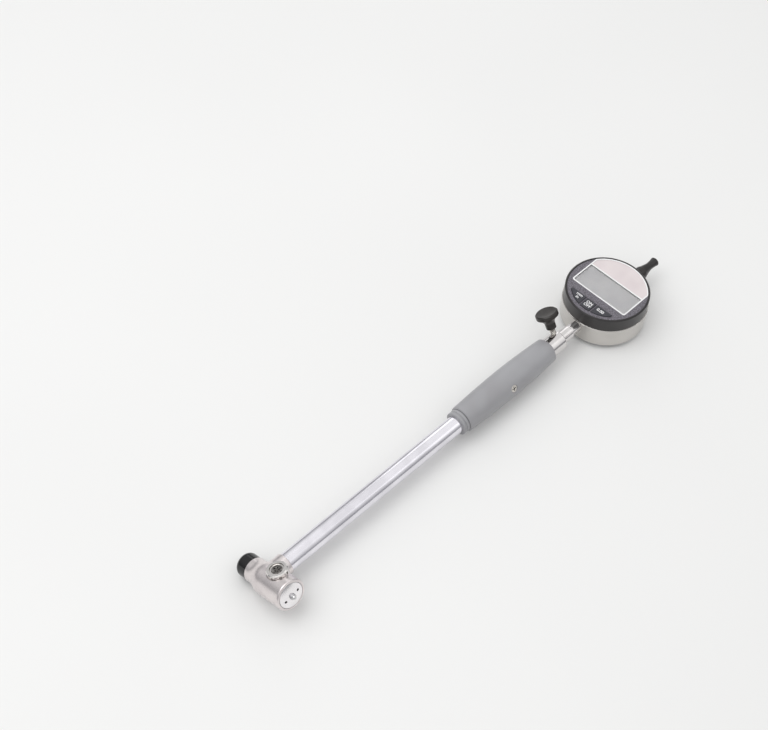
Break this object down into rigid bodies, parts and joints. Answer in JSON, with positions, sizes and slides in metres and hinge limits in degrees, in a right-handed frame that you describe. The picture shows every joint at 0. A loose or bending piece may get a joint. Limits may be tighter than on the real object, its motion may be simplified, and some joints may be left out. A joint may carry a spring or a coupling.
{
  "type": "dial bore gauge",
  "caption": "Long tube gauge for inside diameters: cross head with a sprung contact and an anvil socket, grip, and a clamped digital indicator.",
  "frame": {"origin": "where the measuring axis crosses the tube's axis, inside the head", "axes": "+X up the tube from the head to the indicator and its top cap; +Z out of the indicator's face; the back of the indicator is the rest face, facing -Z. The measuring axis lies square to X and is turned 20 degrees about X from the Y axis, contact end up on the -Y side and anvil end down on the +Y side"},
  "size_m": [0.3749, 0.0592, 0.0377],
  "materials": {
    "head_metal": "satin",
    "cap_metal": "turned",
    "contact_steel": "ground",
    "contact_tip": "polished",
    "lever_steel": "machined",
    "cover_chrome": "polished",
    "tube_chrome": "satin chrome",
    "bush_brass": "turned",
    "grip_paint": "matt grey",
    "screw_steel": "machined",
    "clamp_chrome": "polished",
    "knob_plastic": "moulded",
    "nut_plastic": "glossy black",
    "case_metal": "polished",
    "back_metal": "brushed",
    "case_plastic": "moulded, dark grey",
    "cap_plastic": "moulded black",
    "frame_white": "white",
    "plate_silver": "silver sheet",
    "screen_grey": "display grey",
    "lens_clear": "clear",
    "board_green": "circuit board",
    "button_plastic": "black, moulded"
  },
  "bodies": {
    "gauge_body": {"head_body": "head_metal", "contact_cap": "cap_metal", "lever_pin": "contact_steel", "pivot_cover": "cover_chrome", "pivot_cover_screw": "screw_steel", "tube": "tube_chrome", "rod_bush_lower": "bush_brass", "rod_bush_upper": "bush_brass", "grip_ring": "grip_paint", "grip": "grip_paint", "grip_screw": "screw_steel", "clamp_collar": "clamp_chrome", "clamp_sleeve": "clamp_chrome"},
    "contact": {"contact_plunger": "contact_steel", "contact_ball": "contact_tip"},
    "lever": {"transfer_lever": "lever_steel"},
    "rod": {"push_rod": "contact_steel"},
    "anvil_nut": {"anvil_nut": "nut_plastic"},
    "knob": {"knob_screw": "lever_steel", "clamp_knob": "knob_plastic"},
    "indicator": {"indicator_stem": "clamp_chrome", "rear_case": "case_metal", "back_cover": "back_metal", "back_screws": "screw_steel", "top_cap": "cap_plastic", "front_case": "case_plastic", "window_frame": "frame_white", "top_plate": "plate_silver", "lens": "lens_clear", "screen": "screen_grey", "circuit_board": "board_green", "switches": "button_plastic"},
    "spindle": {"spindle": "contact_steel", "spindle_tip": "contact_tip"},
    "battery_cover": {"battery_cover": "back_metal"},
    "button_left": {"button_left": "button_plastic"},
    "button_middle": {"button_middle": "button_plastic"},
    "button_right": {"button_right": "button_plastic"}
  },
  "joints": [
    {"name": "contact_slide", "type": "slide", "parent": "gauge_body", "child": "contact", "axis": [0, 0.9397, -0.342], "range_m": [0, 0.0016], "stiffness_N_per_m": 300, "springref_m": -0.006},
    {"name": "lever_turn", "type": "hinge", "parent": "gauge_body", "child": "lever", "pos_m": [0.005, -0.0047, 0.00171], "axis": [0, 0.342, 0.9397], "range_deg": [-19, 0]},
    {"name": "rod_slide", "type": "slide", "parent": "gauge_body", "child": "rod", "axis": [1, 0, 0], "range_m": [0, 0.0016]},
    {"name": "indicator_turn", "type": "hinge", "parent": "gauge_body", "child": "indicator", "pos_m": [0.26, 0, 0], "axis": [1, 0, 0], "continuous": true},
    {"name": "spindle_slide", "type": "slide", "parent": "indicator", "child": "spindle", "axis": [1, 0, 0], "range_m": [0, 0.0016]},
    {"name": "anvil_nut_turn", "type": "hinge", "parent": "gauge_body", "child": "anvil_nut", "pos_m": [0, 0.01503, -0.00547], "axis": [0, 0.9397, -0.342], "range_deg": [0, 180]},
    {"name": "knob_turn", "type": "hinge", "parent": "gauge_body", "child": "knob", "pos_m": [0.259, 0.0053, 0.00848], "axis": [0, 0.5299, 0.848], "range_deg": [0, 180]},
    {"name": "battery_cover_turn", "type": "hinge", "parent": "indicator", "child": "battery_cover", "pos_m": [0.3092, 0, -0.0138], "axis": [0, 0, -1], "range_deg": [0, 40]},
    {"name": "button_left_press", "type": "slide", "parent": "indicator", "child": "button_left", "axis": [0, 0, -1], "range_m": [0, 0.0006], "stiffness_N_per_m": 300, "springref_m": -0.0005},
    {"name": "button_middle_press", "type": "slide", "parent": "indicator", "child": "button_middle", "axis": [0, 0, -1], "range_m": [0, 0.0006], "stiffness_N_per_m": 300, "springref_m": -0.0005},
    {"name": "button_right_press", "type": "slide", "parent": "indicator", "child": "button_right", "axis": [0, 0, -1], "range_m": [0, 0.0006], "stiffness_N_per_m": 300, "springref_m": -0.0005}
  ],
  "couplings": [
    {"joint": "lever_turn", "follows": "contact_slide", "rad_per_m": -200},
    {"joint": "rod_slide", "follows": "contact_slide", "ratio": 1},
    {"joint": "spindle_slide", "follows": "contact_slide", "ratio": 1}
  ]
}
